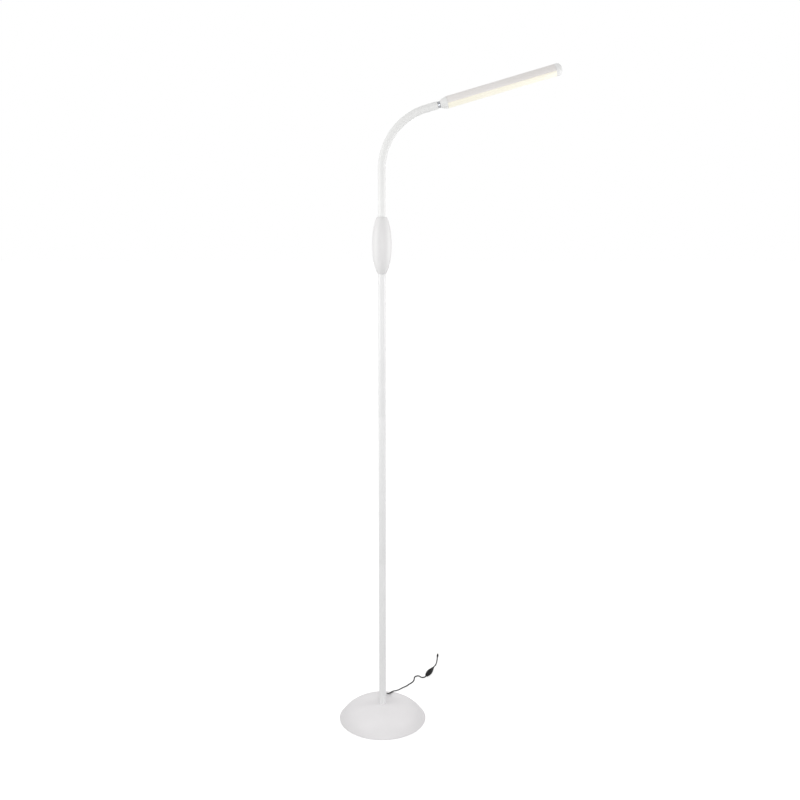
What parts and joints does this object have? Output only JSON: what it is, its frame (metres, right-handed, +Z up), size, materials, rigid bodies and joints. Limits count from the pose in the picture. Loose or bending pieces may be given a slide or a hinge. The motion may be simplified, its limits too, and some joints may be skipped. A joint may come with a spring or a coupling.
{
  "type": "adjustable arm floor lamp",
  "caption": "Slim white floor lamp with a domed weighted base, a straight pole, a spindle handle, a bendable arm and a swivelling bar-shaped LED head.",
  "frame": {"origin": "on the floor, under the middle of the base", "axes": "+Z up along the pole, +X towards the side that the arm leans to, +Y towards the back, where the cord runs off"},
  "size_m": [0.4715, 0.429, 1.4588],
  "materials": {
    "cover": "satin white powder coat",
    "cast_iron": "as cast, dark grey",
    "foam": "matt cellular pad",
    "pole_paint": "satin white powder coat",
    "zinc": "zinc plated",
    "housing_paint": "satin pale grey moulding",
    "white_plastic": "fine matt white moulding",
    "sleeve": "smooth white silicone sleeve",
    "chrome": "polished",
    "steel": "bright screw steel",
    "board_green": "solder mask",
    "board_white": "white solder mask",
    "diffuser": "opal, lit warm white",
    "black_plastic": "fine matt black moulding",
    "cord": "smooth black cord jacket",
    "nickel": "bright nickel"
  },
  "bodies": {
    "stand": {"floor_pad": "foam", "base_weight": "cast_iron", "base_cover": "cover", "foot_bolt": "zinc", "foot_washer": "zinc", "pole_section_1": "pole_paint", "pole_section_2": "pole_paint", "pole_section_3": "pole_paint", "pole_coupler_1": "zinc", "pole_coupler_2": "zinc", "pole_foot_insert": "zinc", "pole_top_collar": "zinc", "strain_relief": "white_plastic", "inner_lead": "cord", "handle_front": "white_plastic", "handle_rear": "white_plastic", "handle_screw_1": "steel", "handle_screw_2": "steel", "driver_board": "board_green", "arm_root": "sleeve", "cord_lead": "cord", "cord_tail": "cord", "switch_bottom": "black_plastic", "switch_top": "black_plastic", "plug_grip": "black_plastic", "plug_barrel": "nickel"},
    "arm_1": {"arm_link_1": "sleeve"},
    "arm_2": {"arm_link_2": "sleeve"},
    "arm_3": {"arm_link_3": "sleeve"},
    "arm_4": {"arm_link_4": "sleeve"},
    "arm_5": {"arm_link_5": "sleeve"},
    "arm_6": {"arm_link_6": "sleeve"},
    "arm_7": {"arm_link_7": "sleeve"},
    "arm_end": {"arm_end_link": "sleeve", "arm_ferrule": "white_plastic", "friction_washer": "black_plastic"},
    "head": {"swivel_neck": "chrome", "neck_ring": "chrome", "neck_nut": "zinc", "head_inner_cap": "white_plastic", "head_housing": "housing_paint", "head_diffuser": "diffuser", "led_board": "board_white", "head_outer_cap": "white_plastic"},
    "rocker": {"switch_rocker": "black_plastic"}
  },
  "joints": [
    {"name": "arm_sway", "type": "hinge", "parent": "stand", "child": "arm_1", "pos_m": [0, 0, 1.1645], "axis": [1, 0, 0], "range_deg": [-9, 9]},
    {"name": "arm_sway_2", "type": "hinge", "parent": "arm_1", "child": "arm_2", "pos_m": [0, 0, 1.1975], "axis": [1, 0, 0], "range_deg": [-9, 9]},
    {"name": "arm_sway_3", "type": "hinge", "parent": "arm_2", "child": "arm_3", "pos_m": [0, 0, 1.2305], "axis": [1, 0, 0], "range_deg": [-9, 9]},
    {"name": "arm_bend", "type": "hinge", "parent": "arm_3", "child": "arm_4", "pos_m": [0, 0, 1.26349], "axis": [0, 1, 0], "range_deg": [-14.8, 15]},
    {"name": "arm_bend_2", "type": "hinge", "parent": "arm_4", "child": "arm_5", "pos_m": [0.00843, 0, 1.29539], "axis": [0, 1, 0], "range_deg": [-14.8, 15]},
    {"name": "arm_bend_3", "type": "hinge", "parent": "arm_5", "child": "arm_6", "pos_m": [0.02472, 0, 1.32407], "axis": [0, 1, 0], "range_deg": [-14.8, 15]},
    {"name": "arm_bend_4", "type": "hinge", "parent": "arm_6", "child": "arm_7", "pos_m": [0.0478, 0, 1.34764], "axis": [0, 1, 0], "range_deg": [-14.8, 15]},
    {"name": "arm_bend_5", "type": "hinge", "parent": "arm_7", "child": "arm_end", "pos_m": [0.07614, 0, 1.36453], "axis": [0, 1, 0], "range_deg": [-14.8, 15]},
    {"name": "head_swivel", "type": "hinge", "parent": "arm_end", "child": "head", "pos_m": [0.11603, 0, 1.37597], "axis": [0.9613, 0, 0.2756], "range_deg": [-90, 90]},
    {"name": "switch_rocker", "type": "hinge", "parent": "stand", "child": "rocker", "pos_m": [0.11837, 0.21346, 0.0068], "axis": [-0.9171, 0.3987, 0], "range_deg": [0, 16]}
  ],
  "couplings": [
    {"joint": "arm_sway_2", "follows": "arm_sway", "ratio": 1},
    {"joint": "arm_sway_3", "follows": "arm_sway", "ratio": 1},
    {"joint": "arm_bend_2", "follows": "arm_bend", "ratio": 1},
    {"joint": "arm_bend_3", "follows": "arm_bend", "ratio": 1},
    {"joint": "arm_bend_4", "follows": "arm_bend", "ratio": 1},
    {"joint": "arm_bend_5", "follows": "arm_bend", "ratio": 1}
  ]
}
